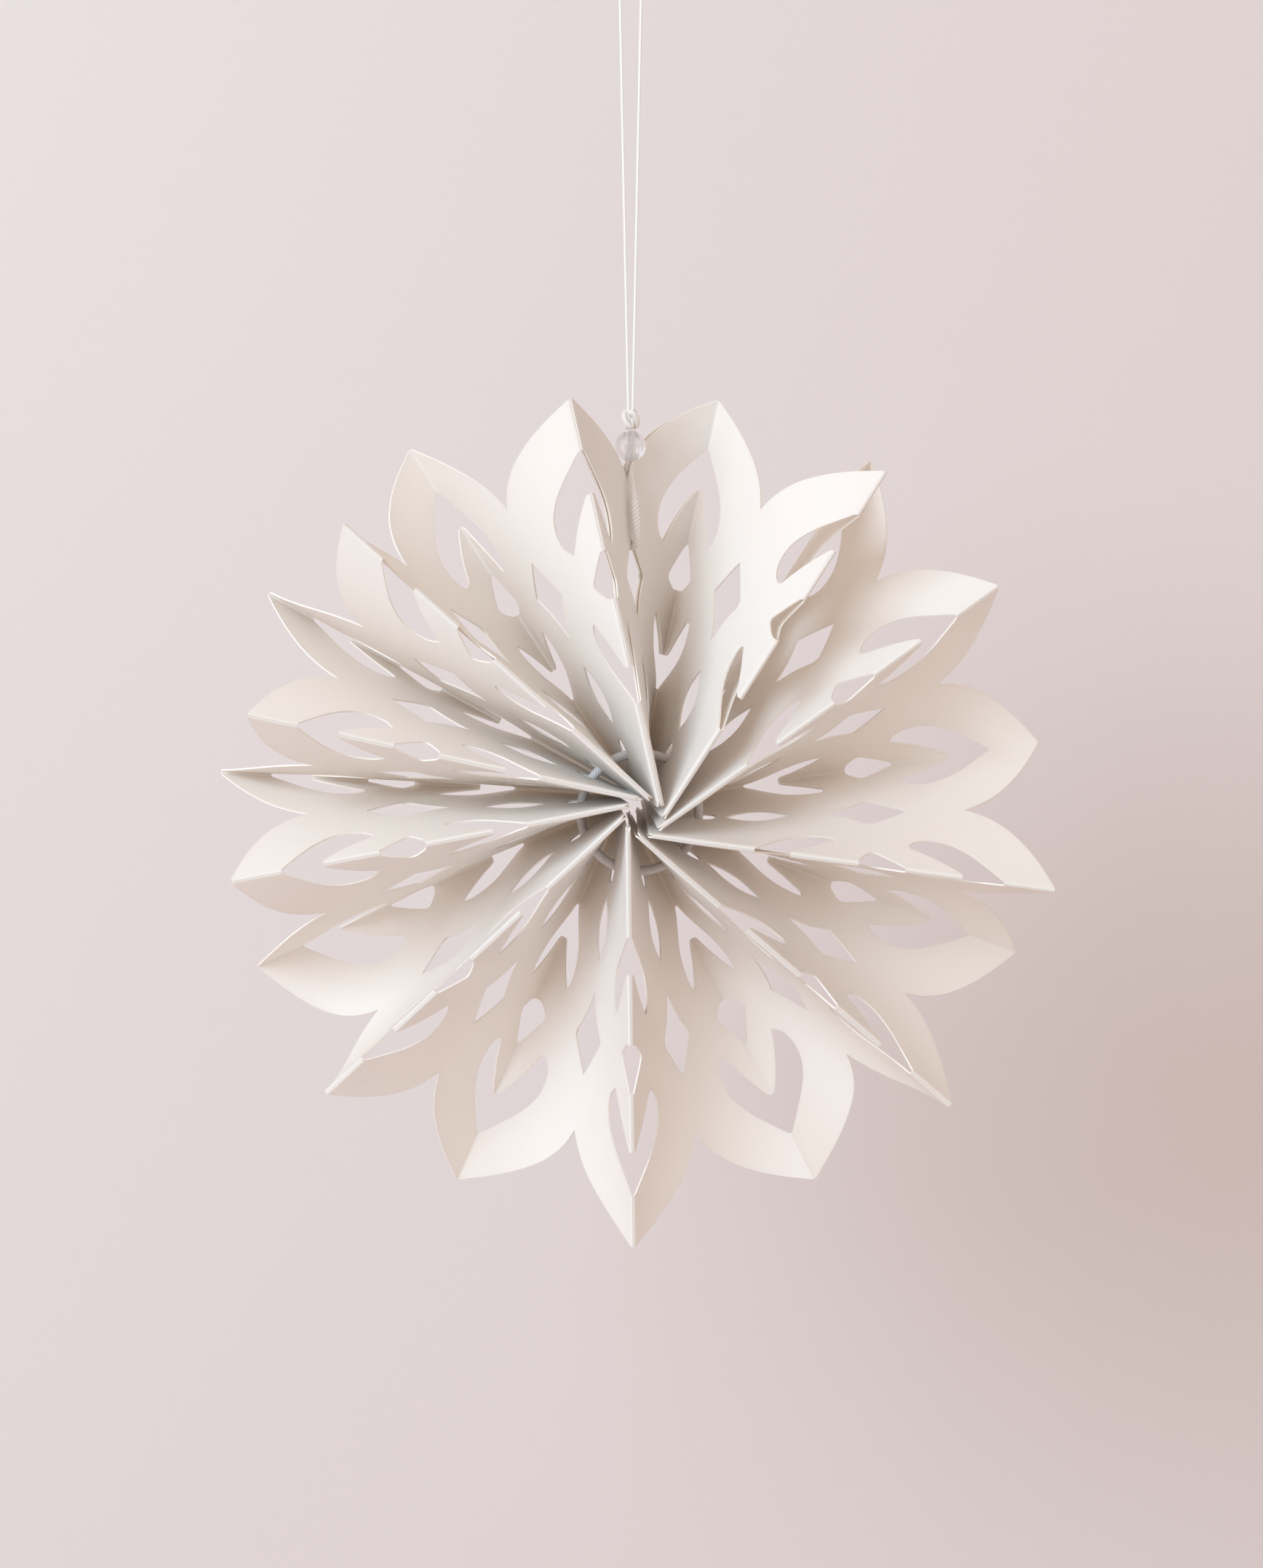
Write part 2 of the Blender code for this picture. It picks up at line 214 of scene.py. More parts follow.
@dataclass(frozen=True)
class PaperFinish:
    """Heavy uncoated paper: felt-like grain, faint mottle and a little light through it."""

    name: str = "ivory_paper"
    colour: Colour = (0.965, 0.945, 0.92)
    mottle: Colour = (0.955, 0.925, 0.89)
    glow: Colour = (1.0, 0.90, 0.77)
    grain_scale: float = 2100.0
    grain_detail: float = 5.0
    cloud_scale: float = 90.0
    cloud_detail: float = 3.0
    grain_height: float = 0.03 * MM
    let_through: float = 0.3
    felt_in_tone: float = 0.45
    tone_floor: float = 0.36
    tone_contrast: float = 1.6
    fine_in_relief: float = 0.8
    coarse_grain: float = 0.22
    coarse_detail: float = 2.0
    roughness: float = 0.72
    roughness_range: float = 0.14
    gloss: float = 0.3
    sheen: float = 0.08
    sheen_roughness: float = 0.6

    def material(self) -> bpy.types.Material:
        """Builds the paper's material.

        Returns:
            The material.
        """
        book = NodeBook(self.name)
        felt = book.noise(self.grain_scale, self.grain_detail)
        clouds = book.noise(self.cloud_scale, self.cloud_detail)
        blend = felt * self.felt_in_tone + clouds * (1 - self.felt_in_tone)
        tone = (blend - self.tone_floor) * self.tone_contrast
        colour = book.mixed(tone, self.colour, self.mottle)
        coarse = book.noise(self.grain_scale * self.coarse_grain, self.coarse_detail)
        height = felt * self.fine_in_relief + coarse * (1 - self.fine_in_relief)
        normal = book.bump(height, self.grain_height)
        sheet = book.add("ShaderNodeBsdfPrincipled", inputs={
            "Base Color": colour, "Normal": normal,
            "Roughness": felt * self.roughness_range + self.roughness,
            "Specular IOR Level": self.gloss, "Sheen Weight": self.sheen,
            "Sheen Roughness": self.sheen_roughness,
        })
        through = book.add("ShaderNodeBsdfTranslucent", inputs={
            "Color": (*self.glow, 1.0), "Normal": normal,
        })
        shares = {0: self.let_through, 1: sheet, 2: through}
        both = book.add("ShaderNodeMixShader", inputs=shares)
        return book.finish(both)


@dataclass(frozen=True)
class CutEdgeFinish:
    """The paper's cut edge: its colour is painted a little darker and warmer than the sheet as
    painted shade on the thin rims, with random fibre tone, and it is rougher.
    """

    name: str = "cut_edge_painted_shade"
    # The rim colours are painted shade: darker and warmer than the paper itself, varied at random by
    # the fibres.
    colour: Colour = (0.92, 0.875, 0.81)
    shade: Colour = (0.84, 0.76, 0.66)
    fibre_scale: float = 2600.0
    fibre_detail: float = 3.0
    fibre_height: float = 0.04 * MM
    tone_floor: float = 0.3
    tone_contrast: float = 1.5
    roughness: float = 0.85
    roughness_range: float = 0.1
    gloss: float = 0.2

    def material(self) -> bpy.types.Material:
        """Builds the cut edge's material.

        Returns:
            The material.
        """
        book = NodeBook(self.name)
        fibres = book.noise(self.fibre_scale, self.fibre_detail)
        tone = (fibres - self.tone_floor) * self.tone_contrast
        colour = book.mixed(tone, self.colour, self.shade)
        surface = book.add("ShaderNodeBsdfPrincipled", inputs={
            "Base Color": colour, "Roughness": fibres * self.roughness_range + self.roughness,
            "Normal": book.bump(fibres, self.fibre_height), "Specular IOR Level": self.gloss,
        })
        return book.finish(surface)


@dataclass(frozen=True)
class YarnFinish:
    """Spun or braided yarn: soft sheen, fine filaments along it, and painted shade that darkens the
    hollows between its plies.
    """

    name: str
    colour: Colour
    # The colour painted into the hollows between the plies: painted shade.
    hollow: Colour
    roughness: float
    sheen: float
    filaments: float
    filament_scale: float = 6.0
    filament_detail: float = 4.0
    fibre_height: float = 0.03 * MM
    hollow_painted_shade: float = 0.85
    fibres_in_tone: float = 0.3
    tone_floor: float = 0.12
    roughness_range: float = 0.2
    sheen_roughness: float = 0.35

    def material(self) -> bpy.types.Material:
        """Builds the yarn's material, which reads the cord's UV map and its depth between plies, and
        paints shade into the hollows with that depth.

        Returns:
            The material.
        """
        book = NodeBook(self.name)
        stretch = book.add("ShaderNodeMapping", inputs={
            "Vector": book.coordinates("UV"), "Scale": (self.filaments, 1.0, 1.0),
        })
        fibres = book.noise(self.filament_scale, self.filament_detail, stretch)
        depth = book.add("ShaderNodeAttribute", {"attribute_name": "depth"}, output="Fac")
        # Painted shade: the deeper between the plies, the nearer to the hollow colour; the filaments
        # add random tone.
        tone = depth * self.hollow_painted_shade + fibres * self.fibres_in_tone - self.tone_floor
        colour = book.mixed(tone, self.colour, self.hollow)
        surface = book.add("ShaderNodeBsdfPrincipled", inputs={
            "Base Color": colour, "Roughness": fibres * self.roughness_range + self.roughness,
            "Normal": book.bump(fibres, self.fibre_height), "Sheen Weight": self.sheen,
            "Sheen Roughness": self.sheen_roughness,
        })
        return book.finish(surface)


@dataclass(frozen=True)
class GlassFinish:
    """Clear pressed glass with a few faint specks."""

    name: str = "clear_glass"
    colour: Colour = (0.97, 0.975, 0.98)
    ior: float = 1.5
    roughness: float = 0.015
    wave: float = 420.0
    wave_detail: float = 1.0
    wave_height: float = 0.05 * MM
    wave_strength: float = 0.5
    body: float = 0.6

    def material(self) -> bpy.types.Material:
        """Builds the bead's material.

        Returns:
            The material.
        """
        book = NodeBook(self.name)
        ripple = book.noise(self.wave, self.wave_detail)
        surface = book.add("ShaderNodeBsdfPrincipled", inputs={
            "Base Color": (*self.colour, 1.0), "Roughness": self.roughness,
            "IOR": self.ior, "Transmission Weight": 1.0, "Alpha": self.body,
            "Normal": book.bump(ripple, self.wave_height, self.wave_strength),
        })
        return book.finish(surface)


@dataclass(frozen=True)
class WallFinish:
    """A plain matt wall or floor, seen from its front only."""

    name: str
    colour: Colour
    one_sided: bool
    cloud_scale: float = 2.2
    cloud_detail: float = 2.0
    cloud_share: float = 0.25
    cloud_shade: float = 0.97
    roughness: float = 0.95
    gloss: float = 0.1

    def material(self) -> bpy.types.Material:
        """Builds the wall's material.

        Returns:
            The material.
        """
        book = NodeBook(self.name)
        clouds = book.noise(self.cloud_scale, self.cloud_detail)
        shade = tuple(channel * self.cloud_shade for channel in self.colour)
        tint = book.mixed(clouds * self.cloud_share, self.colour, shade)
        surface = book.add("ShaderNodeBsdfPrincipled", inputs={
            "Base Color": tint, "Roughness": self.roughness, "Specular IOR Level": self.gloss,
        })
        if self.one_sided:
            clear = book.add("ShaderNodeBsdfTransparent")
            behind = book.add("ShaderNodeNewGeometry", output="Backfacing")
            surface = book.add("ShaderNodeMixShader", inputs={0: behind, 1: surface, 2: clear})
        return book.finish(surface)


# The second colour of each yarn is its painted shade in the hollows between the plies.
SATIN = YarnFinish(
    "satin_cord", (0.92, 0.89, 0.85), (0.58, 0.48, 0.39),
    roughness=0.36, sheen=0.4, filaments=30.0,
)
THREAD = YarnFinish(
    "hanging_thread", (0.95, 0.945, 0.94), (0.74, 0.69, 0.65),
    roughness=0.45, sheen=0.4, filaments=30.0,
)
ELASTIC = YarnFinish(
    "braided_elastic", (0.84, 0.82, 0.81), (0.36, 0.32, 0.30),
    roughness=0.35, sheen=0.6, filaments=12.0,
)


class Corner(Enum):
    """How a cut's outline passes one of its points."""

    SHARP = "sharp"
    SMOOTH = "smooth"


@dataclass(frozen=True)
class Cut:
    """A cut-out's outline in the flat leaf, in millimetres: reach, side and corner."""

    points: tuple[tuple[float, float, Corner], ...]

    def mirrored(self) -> "Cut":
        """The same outline run backwards, for the other half of the leaf."""
        return Cut(self.points[::-1])

    def line(self, spacing: float = 0.9) -> list[Place]:
        """The outline as close points, smooth between its sharp corners.

        Args:
            spacing: About how far apart the points are, in millimetres.

        Returns:
            The points.
        """
        sharp = [i for i, p in enumerate(self.points) if p[2] is Corner.SHARP]
        sharp = sorted({0, len(self.points) - 1, *sharp})
        drawn: list[Place] = []
        for first, last in zip(sharp, sharp[1:]):
            run = [Vector((*p[:2], 0.0)) for p in self.points[first:last + 1]]
            curve = smooth_path(run, spacing)
            drawn += [(p.x, p.y) for p in curve[:-1]]
        last_point = self.points[-1]
        return drawn + [(last_point[0], last_point[1])]


S, C = Corner.SHARP, Corner.SMOOTH
FOLD_OPENING = Cut((
    (96.5, 0.0, S), (96.0, 0.9, S), (92.0, 5.0, C), (88.5, 8.6, C), (85.0, 11.5, C),
    (81.5, 13.5, C), (78.0, 14.3, C), (75.0, 14.1, C), (72.5, 12.9, C), (70.6, 10.4, S),
    (78.0, 5.9, C), (83.5, 2.1, S), (84.5, 1.35, C), (85.0, 0.7, C), (85.1, 0.0, S),
))
FOLD_DIAMOND = Cut((
    (69.9, 0.0, S), (69.6, 0.7, S), (62.0, 6.3, S), (61.0, 6.45, C), (60.0, 5.8, S),
    (58.0, 3.4, C), (57.2, 1.8, C), (57.0, 0.0, S),
))
FOLD_SLOT = Cut((
    (38.7, 0.0, S), (38.9, 1.0, C), (39.9, 2.4, C), (43.0, 4.9, C), (47.0, 8.0, C),
    (51.6, 11.5, S), (50.9, 12.7, C), (48.5, 13.5, C), (44.0, 13.5, C), (39.5, 11.8, C),
    (35.0, 7.6, C), (31.5, 3.2, C), (29.0, 0.0, S),
))
LEAF_KITE = Cut((
    (72.0, 0.0, S), (61.8, 7.2, S), (61.0, 7.2, S), (57.4, 4.6, C), (54.0, 2.5, C),
    (48.7, 0.0, S),
))
LEAF_SLIT = Cut((
    (40.5, 0.0, S), (36.0, 3.0, C), (33.0, 4.4, C), (30.5, 4.6, C), (28.0, 4.1, C),
    (25.5, 2.7, C), (22.5, 0.0, S),
))
PETAL_EDGE = Cut((
    (110.0, 0.0, S), (109.7, 1.1, C), (109.1, 2.3, C), (107.0, 6.9, C), (104.3, 12.0, C),
    (101.4, 16.6, C), (98.4, 20.6, C), (94.8, 24.2, C), (91.2, 26.9, C), (87.5, 29.0, S),
))
INNER_CORNER = Cut((
    (1.0, 1.6, S), (1.12, 0.98, C), (1.46, 0.46, C), (1.98, 0.12, C), (2.6, 0.0, S),
))


def smooth_path(points: Sequence[Vector], spacing: float) -> list[Vector]:
    """Even points on a smooth curve through the given ones.

    Args:
        points: The points that the curve passes.
        spacing: About how far apart the new points are.

    Returns:
        The new points, from the first given point to the last.
    """
    padded = [points[0] * 2 - points[1], *points, points[-1] * 2 - points[-2]]
    dense: list[Vector] = []
    for before, start, end, after in zip(padded, padded[1:], padded[2:], padded[3:]):
        for step in range(CURVE_STEPS):
            t = step / CURVE_STEPS
            rise = (end - before) * t + (2 * before - 5 * start + 4 * end - after) * t**2
            dense.append(start + 0.5 * (rise + (3 * start - before - 3 * end + after) * t**3))
    dense.append(points[-1])
    lengths = [0.0]
    for first, second in zip(dense, dense[1:]):
        lengths.append(lengths[-1] + (second - first).length)
    count = max(1, round(lengths[-1] / spacing))
    places = np.linspace(0.0, lengths[-1], count + 1)
    axes = [np.interp(places, lengths, [p[i] for p in dense]) for i in range(3)]
    return [Vector(point) for point in zip(*axes)]


def unit(rows: np.ndarray) -> np.ndarray:
    """Each row of an array at length 1."""
    return rows / np.linalg.norm(rows, axis=1, keepdims=True)


def dot(first: np.ndarray, second: np.ndarray) -> np.ndarray:
    """The scalar product of each row with its partner, as a column."""
    return np.sum(first * second, axis=1, keepdims=True)


def add_piece(
    name: str, mesh: bpy.types.Mesh, materials: Sequence[bpy.types.Material]
) -> bpy.types.Object:
    """Links a mesh as a piece.

    Args:
        name: The piece's name.
        mesh: Its mesh, in place.
        materials: Its materials.

    Returns:
        The new object.
    """
    piece = bpy.data.objects.new(name, mesh)
    bpy.context.scene.collection.objects.link(piece)
    for each in materials:
        mesh.materials.append(each)
    return piece


@dataclass
class FoldLine:
    """One straight fold, from its inner end to its tip, from the rosette's centre."""

    inner: Vector
    tip: Vector

    def __post_init__(self) -> None:
        """Works out the fold's direction."""
        self.direction = np.array((self.tip - self.inner).normalized())

    def at(self, along: np.ndarray) -> np.ndarray:
        """The fold's points at these shares of its length, one row each."""
        inner, tip = np.array(self.inner), np.array(self.tip)
        return inner + (tip - inner) * along[:, None]


@dataclass
class Pleats:
    """How the strip is folded: its sizes, and where every fold and leaf goes."""

    centre: Vector = field(default_factory=lambda: Vector((2.4, 0.0, -227.0)) * MM)
    length: float = 110.0 * MM
    width: float = 58.0 * MM
    inner_end: float = 1.0 * MM
    pinch_depth: float = 28.9 * MM
    pinch_start: float = 99.0
    front_radius: float = 4.85 * MM
    front_turn: float = -67.0
    front_lean: Vector = field(default_factory=lambda: Vector((-1.4, 0.0, 2.5)) * MM)
    back_radius: float = 3.65 * MM
    back_turn: float = -27.0
    back_lean: Vector = field(default_factory=lambda: Vector((-0.7, 0.0, 0.0)) * MM)
    azimuth: tuple[float, ...] = (
        100.5, 78.4, 56.1, 54.2, 32.8, 7.8, -9.7, -22.3, -43.6, -64.7,
        -91.6, -115.4, -140.1, -157.7, -174.0, -185.2, -196.8, -210.6, -225.3, -238.0,
    )
    short: tuple[float, ...] = (
        -0.3, 1.5, 1.7, 0.1, 0.6, 0.7, 3.8, -1.8, -0.3, -0.5,
        -2.1, -0.4, 2.3, 2.3, 3.2, 0.9, 3.7, -1.2, 0.2, -0.7,
    )
    depth: tuple[float, ...] = (
        -25.2, 13.1, -26.3, 30.8, -10.8, 20.0, -27.7, 24.0, -15.8, 7.0,
        -16.1, 14.3, -20.0, 9.8, -38.8, 14.4, -37.6, 13.8, -34.8, 13.2,
    )
    bow_start: float = 25.0 * MM
    bow: tuple[float, ...] = (
        7.3, -4.2, 3.6, 0.0, 5.5, -1.9, 3.5, 4.9, 15.9, 5.7, 8.6,
        0.0, 17.2, -3.7, -2.0, -3.0, -1.4, -6.5, 9.4, -6.4, 7.9,
    )

    @property
    def leaves(self) -> int:
        """How many leaves the strip has: one more than its folds."""
        return len(self.azimuth) + 1

    def fold(self, index: int) -> FoldLine:
        """One fold of the strip.

        Args:
            index: The fold, clockwise from the mountain fold left of the cord.

        Returns:
            Its line.
        """
        fold = index % len(self.azimuth)
        nominal = self.pinch_start - 360.0 / len(self.azimuth) * fold
        if fold % 2 == 0:
            inner = polar(nominal + self.front_turn, self.front_radius, -self.pinch_depth)
            inner += self.front_lean
        else:
            inner = polar(nominal + self.back_turn, self.back_radius, self.pinch_depth)
            inner += self.back_lean
        reach = self.length - self.short[fold] * MM
        return FoldLine(inner, polar(self.azimuth[fold], reach, self.depth[fold] * MM))


def polar(azimuth: float, radius: float, depth: float = 0.0) -> Vector:
    """A point in the rosette.

    Args:
        azimuth: Its angle in degrees, from +X towards +Z.
        radius: Its distance from the middle line.
        depth: Its place along +Y.

    Returns:
        The point, from the rosette's centre.
    """
    turn = math.radians(azimuth)
    return Vector((radius * math.cos(turn), depth, radius * math.sin(turn)))


@dataclass
class Leaf:
    """One leaf of the strip, between two rolled creases."""

    pleats: Pleats
    number: int
    crease_radius: float = 0.62 * MM
    pinched_radius: float = 0.42 * MM
    easing: float = 16.0 * MM
    settling: int = 4
    probe: float = 0.2 * MM
    search_reach: Place = (6.0 * MM, 34.0 * MM)
    search_side: Place = (6.0 * MM, 48.0 * MM)
    search_step: float = 0.25 * MM

    def __post_init__(self) -> None:
        """Finds the leaf's folds and which way it bows."""
        self.near = self.pleats.fold(self.number - 1)
        self.far = self.pleats.fold(self.number)
        self.bow = self.pleats.bow[self.number - 1] * MM
        across = self.far.tip - self.near.tip
        along = self.near.tip - self.near.inner + self.far.tip - self.far.inner
        normal = along.cross(across).normalized()
        self.back = np.array(normal if normal.y > 0 else -normal)

    def along(self, reach: np.ndarray) -> np.ndarray:
        """The share of a fold's length at each reach."""
        return (reach - self.pleats.inner_end) / (self.pleats.length - self.pleats.inner_end)

    def sag(self, reach: np.ndarray) -> np.ndarray:
        """How far the bow's middle lies behind the flat leaf.

        Args:
            reach: The distances from the centre.

        Returns:
            One offset row each.
        """
        start, end = self.pleats.bow_start, self.pleats.length
        outward = np.maximum(0.0, (reach - start) / (end - start))
        growth = np.sin(math.pi / 2 * outward)
        return (growth * self.bow)[:, None] * self.back

    def leaving(self, reach: np.ndarray, near: bool) -> np.ndarray:
        """The way the bowed leaf leaves a fold, square to it.

        Args:
            reach: The distances from the centre.
            near: Whether it is the near fold.

        Returns:
            One unit row each.
        """
        share = self.along(reach)
        across = self.far.at(share) - self.near.at(share)
        fold = self.near if near else self.far
        way = (across if near else -across) + PARABOLA * self.sag(reach)
        return unit(way - fold.direction * (way @ fold.direction)[:, None])

    def bisector(self, reach: np.ndarray, near: bool) -> np.ndarray:
        """The direction halfway between this leaf and its neighbour at a fold.

        Args:
            reach: The distances from the centre.
            near: Whether it is the near fold.

        Returns:
            One unit row each.
        """
        count = self.pleats.leaves
        beside = self.number - 1 if near else self.number + 1
        if near and self.number == 1:
            beside = count - 1
        if not near and self.number == count:
            beside = 2
        other = Leaf(self.pleats, beside)
        return unit(self.leaving(reach, near) + other.leaving(reach, not near))

    def radius(self, reach: np.ndarray) -> np.ndarray:
        """The radius of the rolled crease, smaller at the pinch.

        Args:
            reach: The distances from the centre.

        Returns:
            The radius at each of them.
        """
        share = np.clip(reach / self.easing, 0.0, 1.0)
        ease = share * share * (3 - 2 * share)
        return self.pinched_radius + (self.crease_radius - self.pinched_radius) * ease

    def surface(self, reach: np.ndarray, side: np.ndarray) -> np.ndarray:
        """Bends points of the flat leaf to their places.

        Args:
            reach: Their distances from the centre.
            side: Their distances from the near fold.

        Returns:
            Their places from the rosette's centre, one row each.
        """
        share = self.along(reach)
        radius = self.radius(reach)[:, None]
        ends = []
        for near in (True, False):
            fold = self.near if near else self.far
            bisector = self.bisector(reach, near)
            middle = fold.at(share) + radius * bisector
            ends.append([fold, bisector, middle, self.leaving(reach, near)])
        sag = self.sag(reach)
        for _ in range(self.settling):
            rolled = []
            for fold, bisector, middle, way in ends:
                inward = dot(way, bisector)
                lateral = unit(way - bisector * inward)
                turn = np.arcsin(np.clip(inward, 0.0, 1.0))
                touch = middle + radius * (lateral * np.sin(turn) - bisector * np.cos(turn))
                rolled.append((lateral, turn, touch))
            across = rolled[1][2] - rolled[0][2]
            for end, sign in zip(ends, (1.0, -1.0)):
                way = across * sign + PARABOLA * sag
                square = end[0].direction * (way @ end[0].direction)[:, None]
                end[3] = unit(way - square)
        near_arc, far_arc = radius * rolled[0][1], radius * rolled[1][1]
        depth = side[:, None]
        flat = self.pleats.width - near_arc - far_arc
        share = np.clip((depth - near_arc) / flat, 0.0, 1.0)
        places = rolled[0][2] + across * share + PARABOLA * share * (1 - share) * sag
        for (_, bisector, middle, _), (lateral, _, _), arc, gone in (
            (ends[0], rolled[0], near_arc, depth),
            (ends[1], rolled[1], far_arc, self.pleats.width - depth),
        ):
            angle = np.clip(gone / radius, 0.0, None)
            bent = middle + radius * (lateral * np.sin(angle) - bisector * np.cos(angle))
            places = np.where(gone < arc, bent, places)
        return places

    def normals(self, reach: np.ndarray, side: np.ndarray) -> np.ndarray:
        """The surface's normals, on the side that faces clockwise.

        Args:
            reach: The points' distances from the centre.
            side: Their distances from the near fold.

        Returns:
            One unit row each.
        """
        place = self.surface(reach, side)
        along = self.surface(reach + self.probe, side) - place
        inside = np.where(side > self.pleats.width / 2, -self.probe, self.probe)
        across = (self.surface(reach, side + inside) - place) * np.sign(inside)[:, None]
        return unit(np.cross(across, along))

    def at_ring(self, radius: float) -> Place:
        """Where the leaf crosses a circle round the middle line, at no depth.

        Args:
            radius: The circle's radius.

        Returns:
            The point of the flat leaf, as reach and side.
        """
        reach, side = (
            np.linspace(low, high, round((high - low) / self.search_step) + 1)
            for low, high in (self.search_reach, self.search_side)
        )
        grid = np.meshgrid(reach, side)
        flat = [each.ravel() for each in grid]
        places = self.surface(*flat)
        miss = np.hypot(places[:, 1], np.hypot(places[:, 0], places[:, 2]) - radius)
        best = int(np.argmin(miss))
        return float(flat[0][best]), float(flat[1][best])


@dataclass
class LeafPattern:
    """The flat cut pattern of a leaf, as a fine mesh that is ready to bend."""

    pleats: Pleats
    grid: float = 2.6
    crease_lines: tuple[float, ...] = (0.22, 0.44, 0.66, 0.88, 1.1, 1.6, 2.4, 3.6)
    crease_margin: float = 4.5
    punch_radius: float = 3.3
    punch_sides: int = 36
    merging: float = 1e-3
    touching: float = 1e-4
    flatness: float = 1e-3

    def outline(self) -> list[Place]:
        """The closed outline of the whole leaf, with the cuts over both folds.

        Returns:
            Its points, as reach and side in millimetres.
        """
        half: list[Place] = []
        cuts = (FOLD_SLOT, FOLD_DIAMOND, FOLD_OPENING)
        for part in (INNER_CORNER, *(cut.mirrored() for cut in cuts), PETAL_EDGE):
            half += part.line()
        other = [(reach, self.width - side) for reach, side in reversed(half[:-1])]
        return half + other

    @property
    def width(self) -> float:
        """The flat leaf's width in millimetres."""
        return self.pleats.width / MM

    def middle_cut(self, cut: Cut) -> list[Place]:
        """A closed cut-out that lies evenly over the middle line.

        Args:
            cut: One half of it.

        Returns:
            Its closed outline.
        """
        line = cut.line()
        right = [(reach, self.width / 2 + side) for reach, side in line]
        left = [(reach, self.width / 2 - side) for reach, side in line[-2:0:-1]]
        return right + left

    def punched(self, centre: Place) -> list[Place]:
        """The round hole for the elastic ring.

        Args:
            centre: Its middle on the flat leaf.

        Returns:
            Its closed outline.
        """
        turns = [2 * math.pi * step / self.punch_sides for step in range(self.punch_sides)]
        return [
            (centre[0] + self.punch_radius * math.cos(t), centre[1] + self.punch_radius * math.sin(t))
            for t in turns
        ]

    def cut_flat(self, punch: Place) -> bmesh.types.BMesh:
        """Fills the pattern and divides it into small faces.

        Args:
            punch: Where the ring's hole is, in millimetres.

        Returns:
            The flat mesh, in millimetres, with reach along X and side along Y.
        """
        sheet = bmesh.new()
        loops = [self.outline(), self.middle_cut(LEAF_KITE), self.middle_cut(LEAF_SLIT)]
        loops.append(self.punched(punch))
        for loop in loops:
            verts = [sheet.verts.new((reach, side, 0.0)) for reach, side in loop]
            for pair in zip(verts, verts[1:] + verts[:1]):
                sheet.edges.new(pair)
        bmesh.ops.remove_doubles(sheet, verts=sheet.verts, dist=self.merging)
        bmesh.ops.triangle_fill(sheet, use_beauty=True, edges=sheet.edges)
        lines = [self.grid * step for step in range(1, int(self.width / self.grid) + 1)]
        margin = self.crease_margin
        lines = [y for y in lines if margin < y < self.width - margin]
        lines += [y for near in self.crease_lines for y in (near, self.width - near)]
        for y in lines:
            self.divide(sheet, Vector((0.0, y, 0.0)), BACK)
        reach = self.grid
        while reach < self.pleats.length / MM:
            self.divide(sheet, Vector((reach, 0.0, 0.0)), Vector((1.0, 0.0, 0.0)))
            reach += self.grid
        bmesh.ops.dissolve_limit(
            sheet, angle_limit=self.flatness, verts=sheet.verts, edges=sheet.edges,
            delimit={"SEAM"},
        )
        return sheet

    def divide(self, sheet: bmesh.types.BMesh, point: Vector, normal: Vector) -> None:
        """Splits every face along one plane, and marks the line as a seam.

        Args:
            sheet: The flat mesh.
            point: A point of the plane.
            normal: The plane's normal.
        """
        geometry = sheet.verts[:] + sheet.edges[:] + sheet.faces[:]
        cut = bmesh.ops.bisect_plane(
            sheet, geom=geometry, dist=self.touching, plane_co=point, plane_no=normal
        )
        for item in cut["geom_cut"]:
            if isinstance(item, bmesh.types.BMEdge):
                item.seam = True


